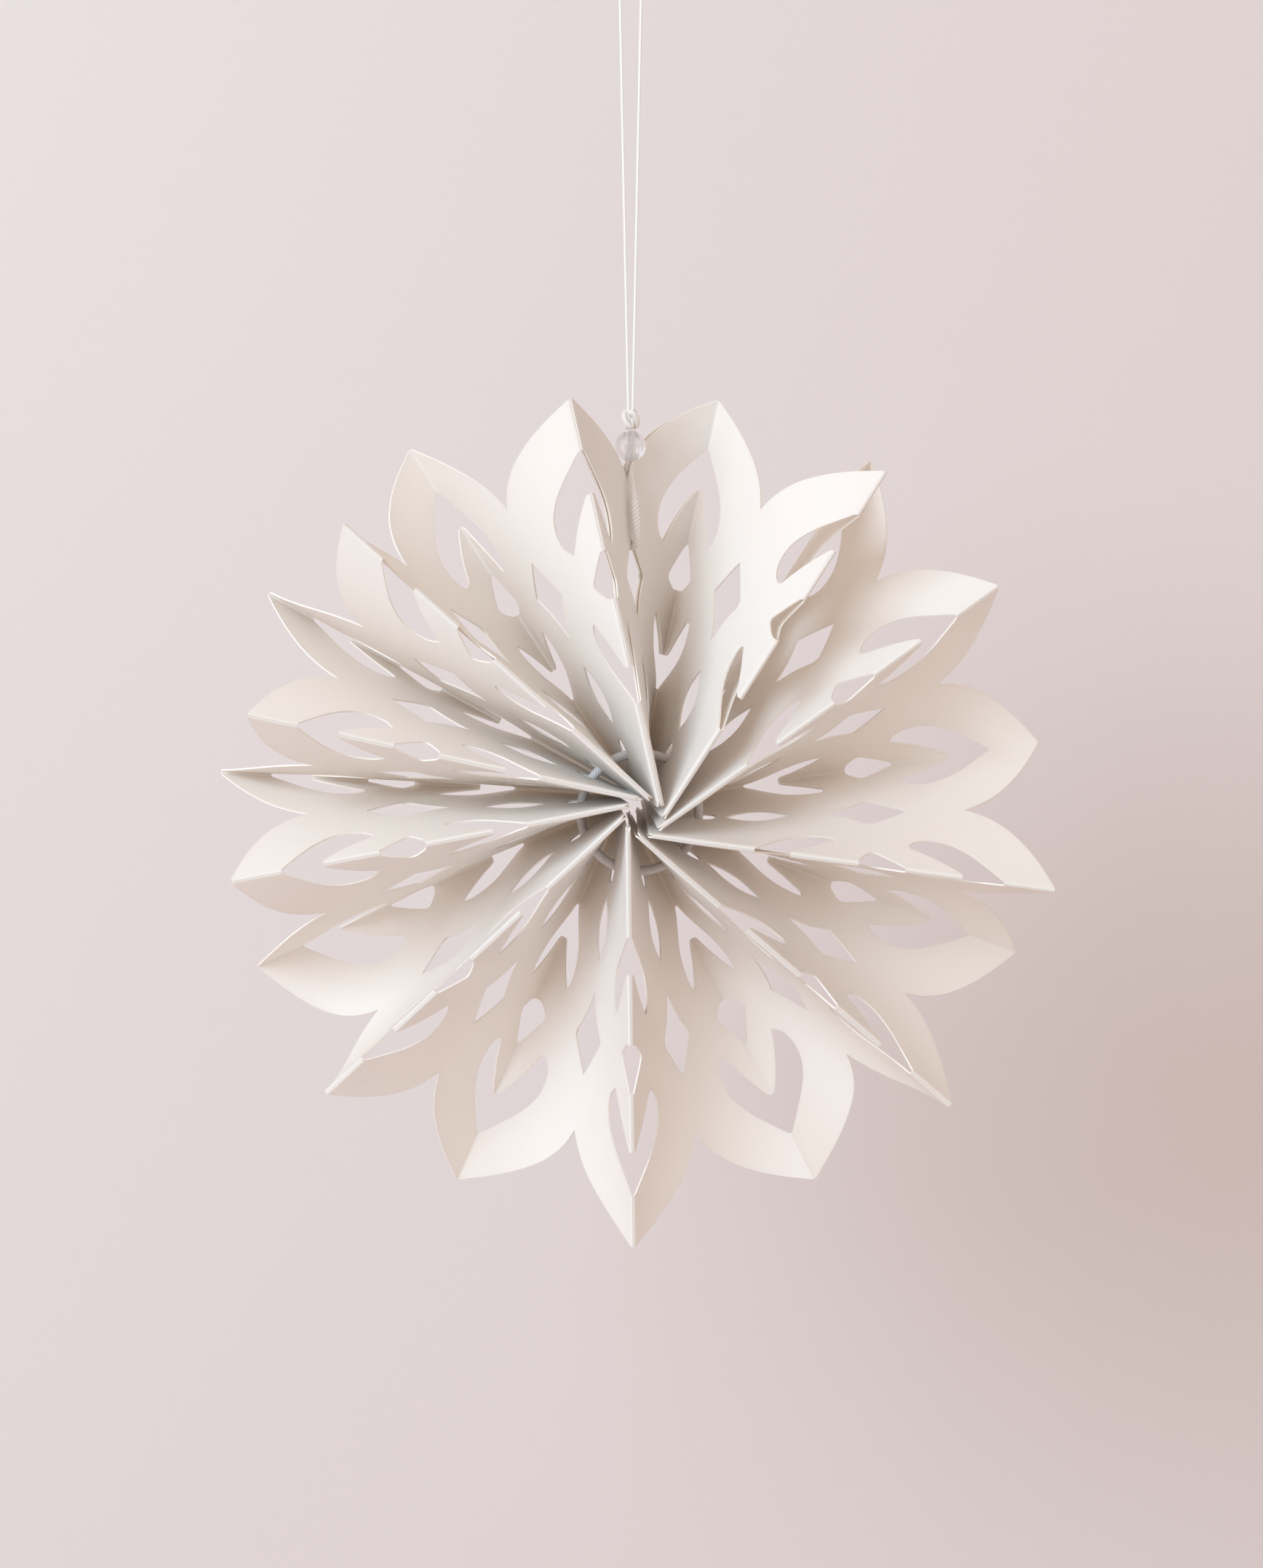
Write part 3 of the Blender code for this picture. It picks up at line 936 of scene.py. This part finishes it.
@dataclass
class Rosette:
    """The pleated strip of paper leaves."""

    pleats: Pleats = field(default_factory=Pleats)
    paper: float = 0.42 * MM
    seam_gap: float = 0.12 * MM
    ring_radius: float = 15.4 * MM
    ring_cord: float = 2.5 * MM
    ring_seat: float = 0.55 * MM
    sharp_angle: float = 40.0
    blend_margin: float = 2.0 * MM
    digits: int = 9

    def build(self, sheet: bpy.types.Material, edge: bpy.types.Material) -> None:
        """Builds every leaf, hides its imported part, and ties the first one to the hanging side.

        Args:
            sheet: The paper's material.
            edge: The cut edges' material.
        """
        pattern = LeafPattern(self.pleats)
        seat = self.ring_radius - self.ring_cord / 2 - self.ring_seat
        for number in range(1, self.pleats.leaves + 1):
            leaf = Leaf(self.pleats, number)
            punch = leaf.at_ring(seat + pattern.punch_radius * MM)
            flat = pattern.cut_flat((punch[0] / MM, punch[1] / MM))
            name = f"paper_leaf_{number:02d}"
            mesh = self.bend(flat, leaf, name)
            piece = add_piece(name, mesh, (sheet, edge))
            self.attach(piece, leaf)
            LOG.info("%s: %d faces", name, len(mesh.polygons))

    def bend(self, flat: bmesh.types.BMesh, leaf: Leaf, name: str) -> bpy.types.Mesh:
        """Bends the flat leaf, and gives it the paper's thickness.

        Args:
            flat: The flat mesh, which is freed.
            leaf: The leaf's surface.
            name: The mesh's name.

        Returns:
            The finished mesh.
        """
        verts = list(flat.verts)
        reach = np.array([v.co.x for v in verts]) * MM
        side = np.array([v.co.y for v in verts]) * MM
        places = leaf.surface(reach, side)
        normals = leaf.normals(reach, side)
        step = self.seam_step(leaf, side)
        if step is not None:
            places = places + normals * step[:, None]
        places = places - normals * self.paper / 2 + np.array(self.pleats.centre)
        for vert, place in zip(verts, places):
            vert.co = place
        bmesh.ops.triangulate(flat, faces=[f for f in flat.faces if len(f.verts) > 4])
        flat.normal_update()
        probe = verts[len(verts) // 2]
        if probe.normal.dot(Vector(normals[len(verts) // 2])) < 0:
            bmesh.ops.reverse_faces(flat, faces=flat.faces)
        rims = self.thicken(flat, verts, normals)
        mesh = bpy.data.meshes.new(name)
        flat.to_mesh(mesh)
        flat.free()
        mesh.shade_smooth()
        mesh.set_sharp_from_angle(angle=math.radians(self.sharp_angle))
        LOG.debug("%s: %d rim faces", name, rims)
        return mesh

    def thicken(
        self, sheet: bmesh.types.BMesh, verts: list[bmesh.types.BMVert], normals: np.ndarray
    ) -> int:
        """Turns the bent sheet into a closed leaf with a rim along every cut.

        Args:
            sheet: The bent sheet, at the paper's back face.
            verts: Its vertices.
            normals: The smooth surface's normal at each of them.

        Returns:
            How many faces the rims have.
        """
        made = bmesh.ops.extrude_face_region(sheet, geom=sheet.faces[:])
        lifted = [item for item in made["geom"] if isinstance(item, bmesh.types.BMVert)]
        lookup = {tuple(round(c, self.digits) for c in v.co): i for i, v in enumerate(verts)}
        for vert in lifted:
            index = lookup[tuple(round(c, self.digits) for c in vert.co)]
            vert.co = vert.co + Vector(normals[index]) * self.paper
        faces = {item for item in made["geom"] if isinstance(item, bmesh.types.BMFace)}
        rim = [e for e in sheet.edges if sum(f in faces for f in e.link_faces) == 1]
        count = 0
        for edge in rim:
            for face in edge.link_faces:
                if face not in faces:
                    face.material_index = 1
                    count += 1
        bmesh.ops.recalc_face_normals(sheet, faces=sheet.faces)
        return count

    def seam_step(self, leaf: Leaf, side: np.ndarray) -> np.ndarray | None:
        """How far the first and the last leaf step apart, from 0 at their creases.

        Args:
            leaf: The leaf.
            side: Its points' distances from the near fold.

        Returns:
            The step at each point, or None for the leaves between.
        """
        share = side / self.pleats.width
        if leaf.number == 1:
            return (self.paper + self.seam_gap) * (1 - share)
        if leaf.number == self.pleats.leaves:
            return -(self.paper + self.seam_gap) * share
        return None

    def attach(self, piece: bpy.types.Object, leaf: Leaf) -> None:
        """Hides the leaf's imported part; the first leaf follows the hanging side, and the others
        keep their places in the scene.

        Args:
            piece: The finished leaf.
            leaf: Its surface.
        """
        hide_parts(f"leaf_{leaf.number:02d}")
        if leaf.number == 1:
            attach(piece, "hanging_side")
            return
        near_body = "hanging_side" if leaf.number == 2 else f"leaf_{leaf.number - 1:02d}"
        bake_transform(piece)


@dataclass(frozen=True)
class Lay:
    """How a cord is laid up: its plies, one turn's length, their relief and its facets."""

    plies: int
    pitch: float
    relief: float
    sides: int
    braided: bool = False


@dataclass
class Strand:
    """A cord along a path, laid up from twisted plies or braided yarns."""

    name: str
    path: list[Vector]
    diameter: float
    lay: Lay
    closed: bool = False
    swell: tuple[Place, ...] = ((0.0, 1.0), (1.0, 1.0))
    ply_roundness: float = 0.8
    pattern_turns: float = 8.0

    def mesh(self) -> bpy.types.Mesh:
        """Sweeps a ring of points along the path, and presses the plies into it.

        Returns:
            The cord's mesh.
        """
        sides = self.lay.sides
        body = bmesh.new()
        around = body.loops.layers.uv.new("UVMap")
        depth = body.verts.layers.float.new("depth")
        rings: list[list[bmesh.types.BMVert]] = []
        first = bmesh.ops.create_circle(body, segments=sides, radius=self.diameter / 2)
        edges = [e for v in first["verts"] for e in v.link_edges]
        edges = list(dict.fromkeys(edges))
        rings.append(self.ordered(edges))
        for _ in self.path[1:]:
            made = bmesh.ops.extrude_edge_only(body, edges=edges)
            edges = [e for e in made["geom"] if isinstance(e, bmesh.types.BMEdge)]
            new = {v for v in made["geom"] if isinstance(v, bmesh.types.BMVert)}
            rings.append(self.follow(rings[-1], new))
            edges = [e for e in edges if all(v in new for v in e.verts)]
        lengths = self.lengths()
        shares, factors = zip(*self.swell)
        for ring, place, turn, travelled in zip(rings, self.path, self.frames(), lengths):
            half = self.diameter / 2 * np.interp(travelled / lengths[-1], shares, factors)
            for step, vert in enumerate(ring):
                angle = 2 * math.pi * step / sides
                hollow = self.hollow(angle, travelled)
                radius = half - self.lay.relief * hollow
                spoke = Vector((math.cos(angle), math.sin(angle), 0.0)) * radius
                vert.co = place + turn @ spoke
                # The depth is kept for the yarn material, which paints shade into the hollows with
                # it.
                vert[depth] = hollow
        if self.closed:
            for step in range(sides):
                corners = (rings[-1][step], rings[-1][step - 1], rings[0][step - 1], rings[0][step])
                body.faces.new(corners)
        else:
            bmesh.ops.contextual_create(body, geom=rings[0])
            bmesh.ops.contextual_create(body, geom=rings[-1])
        place_of = {v: (i, j) for i, ring in enumerate(rings) for j, v in enumerate(ring)}
        for face in body.faces:
            for loop in face.loops:
                ring, step = place_of[loop.vert]
                turns = step / sides * self.pattern_turns
                loop[around].uv = (turns, lengths[ring] / self.diameter)
        bmesh.ops.recalc_face_normals(body, faces=body.faces)
        mesh = bpy.data.meshes.new(self.name)
        body.to_mesh(mesh)
        body.free()
        mesh.shade_smooth()
        return mesh

    @staticmethod
    def ordered(edges: Sequence[bmesh.types.BMEdge]) -> list[bmesh.types.BMVert]:
        """The vertices of a closed ring, in order.

        Args:
            edges: The ring's edges.

        Returns:
            Its vertices.
        """
        start = edges[0].verts[0]
        ring, before, here = [start], edges[0], edges[0].other_vert(start)
        chosen = set(edges)
        while here is not start:
            ring.append(here)
            before = next(e for e in here.link_edges if e in chosen and e is not before)
            here = before.other_vert(here)
        return ring

    @staticmethod
    def follow(
        ring: list[bmesh.types.BMVert], new: set[bmesh.types.BMVert]
    ) -> list[bmesh.types.BMVert]:
        """The extruded vertices, in the order of those that they came from.

        Args:
            ring: The vertices that were extruded.
            new: The extruded ones.

        Returns:
            The extruded vertices, in order.
        """
        return [
            next(e.other_vert(v) for e in v.link_edges if e.other_vert(v) in new) for v in ring
        ]

    def lengths(self) -> list[float]:
        """How far along the path each of its points lies.

        Returns:
            The distance travelled at each point.
        """
        travelled = [0.0]
        for first, second in zip(self.path, self.path[1:]):
            travelled.append(travelled[-1] + (second - first).length)
        return travelled

    def frames(self) -> list[Matrix]:
        """The turns that carry +Z along the path, without twist.

        Returns:
            One turn for each point.
        """
        count = len(self.path)
        frames: list[Matrix] = []
        side = None
        for index in range(count):
            if self.closed:
                way = self.path[(index + 1) % count] - self.path[index - 1]
            else:
                way = self.path[min(index + 1, count - 1)] - self.path[max(index - 1, 0)]
            way.normalize()
            if side is None:
                side = way.orthogonal().normalized()
            side = (side - way * side.dot(way)).normalized()
            frames.append(Matrix((side, way.cross(side), way)).transposed())
        return frames

    def hollow(self, angle: float, travelled: float) -> float:
        """How deep the surface lies between the plies, from 0 to 1.

        Args:
            angle: The direction round the cord.
            travelled: The distance along it.

        Returns:
            The depth's share.
        """
        plies = self.lay.plies
        twist = 2 * math.pi * travelled / self.lay.pitch
        if not self.lay.braided:
            return 1.0 - abs(math.sin(plies * (angle - twist) / 2)) ** self.ply_roundness
        over = math.sin(plies * (angle - twist) / 2) ** 2
        under = math.sin(plies * (angle + twist) / 2) ** 2
        return 1.0 - max(over, under)


@dataclass
class ElasticRing:
    """The braided elastic cord that threads every leaf."""

    centre: Vector
    radius: float
    cord: float
    steps: int = 420
    plies: int = 8
    braid_turns: int = 14
    relief: float = 0.11 * MM
    sides: int = 32

    def build(self, finish: bpy.types.Material) -> bpy.types.Object:
        """Builds the ring.

        Args:
            finish: The elastic's material.

        Returns:
            The ring.
        """
        path = [
            self.centre + polar(360.0 * step / self.steps, self.radius)
            for step in range(self.steps)
        ]
        pitch = 2 * math.pi * self.radius / self.braid_turns
        lay = Lay(self.plies, pitch, self.relief, self.sides, braided=True)
        strand = Strand("braided_ring", path, self.cord, lay, closed=True)
        ring = add_piece("braided_ring", strand.mesh(), (finish,))
        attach(ring, "hanging_side")
        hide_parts("elastic_ring")
        LOG.info("braided_ring: %d faces", len(ring.data.polygons))
        return ring


@dataclass
class Hanger:
    """The bead, the knot, the tie below them and the hanging loop above."""

    pleats: Pleats
    bead_diameter: float = 8.0 * MM
    bead_hole: float = 3.0 * MM
    bead_height: float = 95.3 * MM
    bead_steps: int = 40
    bead_turns: int = 72
    hole_steps: int = 10
    merging: float = 1e-7
    rim_angle: float = 30.0
    gap: float = 0.3 * MM
    knot_cord: float = 1.0 * MM
    knot_ring: float = 1.35 * MM
    knot_weave: float = 0.65 * MM
    knot_rise: float = 2.1 * MM
    knot_fill: float = 1.5
    knot_depth: float = 1.6 * MM
    knot_steps: int = 260
    knot_lay: Lay = Lay(plies=6, pitch=4.4 * MM, relief=0.13 * MM, sides=36)
    tie_cord: float = 1.3 * MM
    tie_spread: float = 0.72 * MM
    tie_bulge: float = 2.6 * MM
    tie_drop: float = 2.6 * MM
    tie_notch_drop: float = 2.5 * MM
    tie_straight: float = 0.4
    tie_above: float = 0.25
    tie_beside: float = 0.65
    tie_parted: Place = (0.55, 0.92)
    tie_diagonal: float = 0.71
    tie_spacing: float = 0.22 * MM
    tie_lay: Lay = Lay(plies=4, pitch=4.2 * MM, relief=0.17 * MM, sides=30)
    tie_swell: tuple[Place, ...] = (
        (0.0, 1.0), (0.22, 1.0), (0.3, 1.7), (0.38, 1.85), (0.45, 1.3), (0.5, 1.0), (0.55, 1.3),
        (0.62, 1.85), (0.7, 1.7), (0.78, 1.0), (1.0, 1.0),
    )
    loop_cord: float = 0.75 * MM
    loop_spread: float = 0.55 * MM
    loop_width: float = 6.0 * MM
    loop_shares: tuple[float, ...] = (0.0, 0.02, 0.12, 0.3, 0.5, 0.7, 0.88)
    crown_steps: int = 8
    loop_spacing: float = 0.4 * MM
    loop_lay: Lay = Lay(plies=2, pitch=2.4 * MM, relief=0.06 * MM, sides=12)

    @property
    def bead_middle(self) -> Vector:
        """The middle of the bead."""
        return Vector((0.0, 0.0, self.pleats.centre.z + self.bead_height))

    @property
    def knot_middle(self) -> float:
        """The height of the knot's middle, which rests on the bead."""
        top = self.bead_middle.z + self.bead_diameter / 2
        return top + self.gap + self.knot_half

    @property
    def knot_half(self) -> float:
        """Half the knot's height."""
        return self.knot_rise + self.knot_cord / 2

    def build(self, satin: bpy.types.Material, thread: bpy.types.Material,
              glass: bpy.types.Material) -> None:
        """Args:
            satin: The tie's and the knot's material.
            thread: The hanging thread's material.
            glass: The bead's material.
        """
        bead = self.bead(glass)
        knot = self.knot(satin)
        self.tie(satin)
        self.loop(thread, [knot])

    def bead(self, glass: bpy.types.Material) -> bpy.types.Object:
        """The round bead with its straight hole.

        Args:
            glass: Its material.

        Returns:
            The bead.
        """
        radius, hole = self.bead_diameter / 2, self.bead_hole / 2
        rim = math.asin(hole / radius)
        steps = self.bead_steps
        turns = [rim + (math.pi - 2 * rim) * step / steps for step in range(steps + 1)]
        profile = [(radius * math.sin(t), radius * math.cos(t)) for t in turns]
        wall = np.linspace(profile[-1][1], profile[0][1], self.hole_steps)
        inner = [(hole, z) for z in wall[1:-1]]
        body = bmesh.new()
        verts = [body.verts.new((x, 0.0, z)) for x, z in profile + inner]
        edges = [body.edges.new(pair) for pair in zip(verts, verts[1:] + verts[:1])]
        bmesh.ops.spin(
            body, geom=verts + edges, axis=(0, 0, 1), cent=(0, 0, 0), angle=2 * math.pi,
            steps=self.bead_turns, use_merge=True,
        )
        bmesh.ops.remove_doubles(body, verts=body.verts, dist=self.merging)
        bmesh.ops.recalc_face_normals(body, faces=body.faces)
        bmesh.ops.translate(body, verts=body.verts, vec=self.bead_middle)
        mesh = bpy.data.meshes.new("clear_bead")
        body.to_mesh(mesh)
        body.free()
        mesh.shade_smooth()
        mesh.set_sharp_from_angle(angle=math.radians(self.rim_angle))
        piece = add_piece("clear_bead", mesh, (glass,))
        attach(piece, "bead")
        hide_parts("glass_bead")
        LOG.info("clear_bead: %d faces", len(mesh.polygons))
        return piece

    def knot(self, satin: bpy.types.Material) -> bpy.types.Object:
        """The overhand knot, drawn tight on the bead.

        Args:
            satin: Its material.

        Returns:
            The knot.
        """
        steps = self.knot_steps
        cord = self.knot_cord * self.knot_fill
        drawn = (cord - self.knot_cord) / 2
        path = []
        for step in range(steps):
            turn = 2 * math.pi * step / steps
            ring = self.knot_ring + self.knot_weave * math.cos(3 * turn) - drawn
            path.append(Vector((
                ring * math.sin(2 * turn),
                ring * math.cos(2 * turn),
                self.knot_middle + (self.knot_rise - drawn) * math.sin(3 * turn),
            )))
        strand = Strand("overhand_knot", path, cord, self.knot_lay, closed=True)
        piece = add_piece("overhand_knot", strand.mesh(), (satin,))
        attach(piece, "hanging_side")
        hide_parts("cord_knot")
        LOG.info("overhand_knot: %d faces", len(piece.data.polygons))
        return piece

    def seam_point(self, reach: float) -> Vector:
        """A point of the seam leaves' middle line.

        Args:
            reach: Its distance from the centre.

        Returns:
            Its place.
        """
        leaf = Leaf(self.pleats, 1)
        place = leaf.surface(np.array([reach]), np.array([self.pleats.width / 2]))[0]
        return Vector(place) + self.pleats.centre

    def tie_route(self) -> list[Vector]:
        """Leads the tie down through the bead, through the kite and back up.

        Returns:
            The points that it passes.
        """
        notch = PETAL_EDGE.points[-1][0] * MM
        lowest = LEAF_KITE.points[0][0] * MM - self.tie_drop
        turn = lowest + self.tie_bulge
        bulge = Vector(Leaf(self.pleats, 1).back) * self.tie_bulge
        seam = self.seam_point
        inward = (seam(lowest) - seam(turn)).normalized() * self.tie_bulge
        bead = self.bead_middle
        drop = self.bead_diameter / 2
        start = self.knot_middle - self.knot_half - self.gap

        def half(sign: int) -> list[Vector]:
            """One strand, from the knot to the turn.

            Args:
                sign: Its side, 1 or -1.

            Returns:
                Its points.
            """
            spread = Vector((self.tie_spread * sign, 0.0, 0.0))
            return [
                Vector((0.0, 0.0, start)) + spread,
                Vector((0.0, 0.0, bead.z + drop * self.tie_straight)) + spread,
                Vector((0.0, 0.0, bead.z - drop * self.tie_straight)) + spread,
                Vector((0.0, 0.0, bead.z - drop)) + spread,
                seam(notch).lerp(bead, self.tie_above) - bulge * self.tie_parted[0] * sign,
                seam(notch - self.tie_notch_drop) - bulge * self.tie_parted[1] * sign,
                seam(notch).lerp(seam(turn), self.tie_beside) - bulge * sign,
                seam(turn) - bulge * sign,
                seam(turn) - bulge * self.tie_diagonal * sign + inward * self.tie_diagonal,
            ]

        return half(1) + [seam(turn) + inward] + half(-1)[::-1]

    def tie(self, satin: bpy.types.Material) -> None:
        """The twisted cord that ties the last leaf to the first.

        Args:
            satin: Its material.
        """
        path = smooth_path(self.tie_route(), self.tie_spacing)
        strand = Strand("satin_tie", path, self.tie_cord, self.tie_lay, swell=self.tie_swell)
        piece = add_piece("satin_tie", strand.mesh(), (satin,))
        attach(piece, "hanging_side")
        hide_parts("tie_loop")
        strand.lengths()[-1]
        LOG.info("satin_tie: %.1f mm long", strand.lengths()[-1] / MM)

    def loop_route(self) -> list[Vector]:
        """Leads the hanging loop up, over its rest, and down to the knot again.

        Returns:
            The points that it passes.
        """
        start = self.knot_middle + self.knot_half - self.knot_depth
        radius = self.loop_width / 2
        crown = self.loop_cord / 2
        points = []
        for share in self.loop_shares:
            half = self.loop_spread + (radius - self.loop_spread) * share
            points.append(Vector((-half, 0.0, start + (crown - radius - start) * share)))
        for step in range(self.crown_steps + 1):
            turn = math.pi * step / self.crown_steps
            height = crown - radius * (1 - math.sin(turn))
            points.append(Vector((-radius * math.cos(turn), 0.0, height)))
        legs = len(self.loop_shares)
        points += [Vector((-p.x, 0.0, p.z)) for p in points[legs - 1::-1]]
        return points

    def loop(self, thread: bpy.types.Material, on_it: list[bpy.types.Object]) -> None:
        """The thin doubled thread that the ornament hangs on.

        Args:
            thread: Its material.
            on_it: The knot; not used.
        """
        path = smooth_path(self.loop_route(), self.loop_spacing)
        strand = Strand("hanging_thread", path, self.loop_cord, self.loop_lay)
        piece = add_piece("hanging_thread", strand.mesh(), (thread,))
        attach(piece, "hanging_side")
        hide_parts("hanging_loop")
        strand.lengths()[-1]
        LOG.info("hanging_thread: %.1f mm long", strand.lengths()[-1] / MM)


@dataclass(frozen=True)
class Lamp:
    """A square soft lamp that faces the ornament."""

    name: str
    place: tuple[float, float, float]
    size: float
    power: float
    colour: Colour

    def hang(self, target: Vector) -> None:
        """Hangs the lamp.

        Args:
            target: What it faces, from which its place is measured.
        """
        data = bpy.data.lights.new(self.name, "AREA")
        data.size = self.size
        data.energy = self.power
        data.color = self.colour
        made = bpy.data.objects.new(self.name, data)
        bpy.context.scene.collection.objects.link(made)
        made.location = target + Vector(self.place)
        made.rotation_euler = (-Vector(self.place)).to_track_quat("-Z", "Y").to_euler()


DAYLIGHT: Colour = (0.64, 0.84, 1.0)
WINDOW = Lamp("window_light", (-1.0, -1.22, 0.66), size=0.9, power=22.5, colour=DAYLIGHT)
ROOM_FILL = Lamp("room_fill", (1.3, -1.4, 0.2), size=1.4, power=2.0, colour=DAYLIGHT)


@dataclass
class Studio:
    """The camera, the soft window light, and the pale wall and floor."""

    target: Vector = field(default_factory=lambda: Vector((0.23, 0.0, -219.6)) * MM)
    distance: float = 1.2
    azimuth: float = -4.9
    elevation: float = 7.3
    lens: float = 105.8
    sensor: float = 36.0
    wall_distance: float = 0.26
    wall_size: float = 3.0
    wall_middle: float = -0.2
    floor_height: float = -0.75
    wall_colour: Colour = (0.75, 0.678, 0.658)
    surround: Colour = (1.0, 0.84, 0.745)
    room_brightness: float = 0.73

    def camera(self) -> None:
        """The camera at the photograph's angle."""
        data = bpy.data.cameras.new("camera")
        data.lens = self.lens
        data.sensor_width = self.sensor
        seen = bpy.data.objects.new("camera", data)
        bpy.context.scene.collection.objects.link(seen)
        turn, rise = math.radians(self.azimuth), math.radians(self.elevation)
        away = Vector((
            math.sin(turn) * math.cos(rise), -math.cos(turn) * math.cos(rise), math.sin(rise),
        ))
        seen.location = self.target + away * self.distance
        seen.rotation_euler = (-away).to_track_quat("-Z", "Y").to_euler()
        bpy.context.scene.camera = seen

    def plane(self, name: str, size: float, colour: Colour, one_sided: bool,
              placed: Matrix) -> None:
        """A flat stage piece.

        Args:
            name: Its name.
            size: Its side.
            colour: Its colour.
            one_sided: Whether it is clear from behind.
            placed: Where it stands.
        """
        body = bmesh.new()
        bmesh.ops.create_grid(body, x_segments=2, y_segments=2, size=size / 2)
        bmesh.ops.transform(body, matrix=placed, verts=body.verts)
        mesh = bpy.data.meshes.new(name)
        body.to_mesh(mesh)
        body.free()
        finish = WallFinish(name, colour, one_sided).material()
        add_piece(name, mesh, (finish,))

    def build(self) -> None:
        """Sets up the wall, the floor, the lamps and the surroundings."""
        upright = Matrix.Rotation(math.radians(90.0), 4, "X")
        back = Matrix.Translation((0.0, self.wall_distance, self.wall_middle))
        self.plane("pale_wall", self.wall_size, self.wall_colour, True, back @ upright)
        low = Matrix.Translation((0.0, 0.0, self.floor_height))
        self.plane("pale_floor", self.wall_size * 2, self.wall_colour, False, low)
        for lamp in (WINDOW, ROOM_FILL):
            lamp.hang(self.target)
        world = bpy.data.worlds.new("room")
        bpy.context.scene.world = world
        world.use_nodes = True
        tree = world.node_tree
        air = tree.nodes["Background"]
        air.inputs["Color"].default_value = (*self.surround, 1.0)
        air.inputs["Strength"].default_value = self.room_brightness
        bpy.context.scene.view_settings.view_transform = "Standard"


def main() -> None:
    """Builds the ornament and its studio."""
    logging.basicConfig(level=logging.INFO, format="%(message)s")
    studio = Studio()
    studio.camera()
    rosette = Rosette()
    hanger = Hanger(rosette.pleats)
    hanger.build(SATIN.material(), THREAD.material(), GlassFinish().material())
    ring = ElasticRing(rosette.pleats.centre, rosette.ring_radius, rosette.ring_cord)
    ring.build(ELASTIC.material())
    rosette.build(PaperFinish().material(), CutEdgeFinish().material())
    studio.build()


if __name__ == "__main__":
    main()
